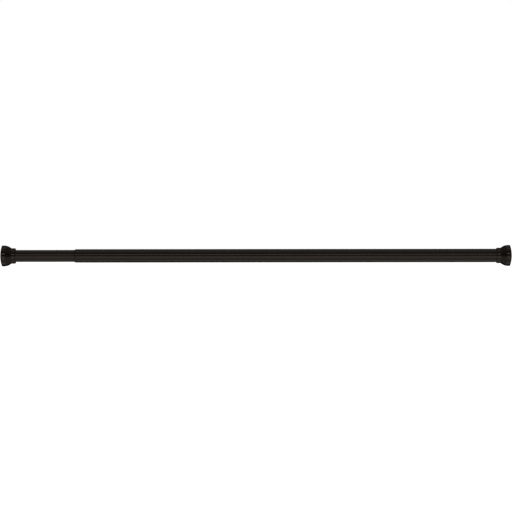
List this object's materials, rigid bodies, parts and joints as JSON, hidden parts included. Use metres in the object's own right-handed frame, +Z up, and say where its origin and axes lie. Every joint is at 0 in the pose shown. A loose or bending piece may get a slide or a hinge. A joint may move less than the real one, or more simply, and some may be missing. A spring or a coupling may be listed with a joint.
{
  "type": "telescoping cargo bar",
  "caption": "Round telescoping tension bar with an internal spring and twist lock and a domed rubber pad in a flared swivel foot at each end.",
  "frame": {"origin": "centre of the outer foot's pad face, on the bar's axis", "axes": "+X along the bar, out of the outer foot's pad; the bar lies from x = 0 to x = -1.090 m; +Z up"},
  "size_m": [1.09, 0.0448, 0.0448],
  "materials": {
    "tube_finish": "gloss black-bronze powder paint on thin steel tube",
    "cover_finish": "moulded ABS painted to match the tubes",
    "pad_rubber": "matt black rubber",
    "black_nylon": "moulded black nylon",
    "white_acetal": "natural white acetal",
    "zinc_steel": "bright zinc-plated steel",
    "spring_steel": "oiled spring steel"
  },
  "bodies": {
    "outer_foot": {"outer_foot_hub": "black_nylon", "outer_foot_pad": "pad_rubber", "outer_foot_cover": "cover_finish"},
    "outer_arm": {"outer_tube": "tube_finish", "mouth_bush": "black_nylon", "outer_end_plug": "black_nylon", "outer_plug_pin": "spring_steel", "outer_swivel_screw": "zinc_steel", "outer_swivel_washer": "zinc_steel"},
    "guide": {"guide_ring": "white_acetal"},
    "plunger": {"plunger_rod": "zinc_steel", "spring_cup": "black_nylon", "lock_cam": "zinc_steel", "cam_pin": "spring_steel", "guide_clip": "spring_steel", "lock_washer": "zinc_steel", "lock_screw": "zinc_steel"},
    "expander": {"lock_ring": "white_acetal"},
    "inner_arm": {"inner_tube": "tube_finish", "plunger_bush": "black_nylon", "plunger_bush_pins": "spring_steel", "spring_seat": "black_nylon", "spring_seat_pin": "spring_steel", "spring": "spring_steel", "inner_end_plug": "black_nylon", "inner_plug_pin": "spring_steel", "inner_swivel_screw": "zinc_steel", "inner_swivel_washer": "zinc_steel"},
    "inner_foot": {"inner_foot_hub": "black_nylon", "inner_foot_pad": "pad_rubber", "inner_foot_cover": "cover_finish"}
  },
  "joints": [
    {"name": "outer_foot_swivel", "type": "hinge", "parent": "outer_foot", "child": "outer_arm", "pos_m": [-0.013, 0, 0], "axis": [1, 0, 0], "continuous": true},
    {"name": "tube_slide", "type": "slide", "parent": "outer_arm", "child": "guide", "axis": [-1, 0, 0], "range_m": [-0.074, 0.688]},
    {"name": "twist_lock", "type": "hinge", "parent": "guide", "child": "plunger", "pos_m": [-0.15, 0, 0], "axis": [1, 0, 0], "range_deg": [0, 20]},
    {"name": "lock_ring_shift", "type": "hinge", "parent": "plunger", "child": "expander", "pos_m": [-0.13, 0, 0.0012], "axis": [1, 0, 0], "range_deg": [-20, 0]},
    {"name": "spring_stroke", "type": "slide", "parent": "plunger", "child": "inner_arm", "axis": [1, 0, 0], "range_m": [0, 0.03], "stiffness_N_per_m": 3200, "springref_m": -0.006, "deforming": ["spring"]},
    {"name": "inner_foot_swivel", "type": "hinge", "parent": "inner_arm", "child": "inner_foot", "pos_m": [-1.077, 0, 0], "axis": [1, 0, 0], "continuous": true}
  ],
  "couplings": [
    {"joint": "lock_ring_shift", "follows": "twist_lock", "ratio": -1}
  ]
}
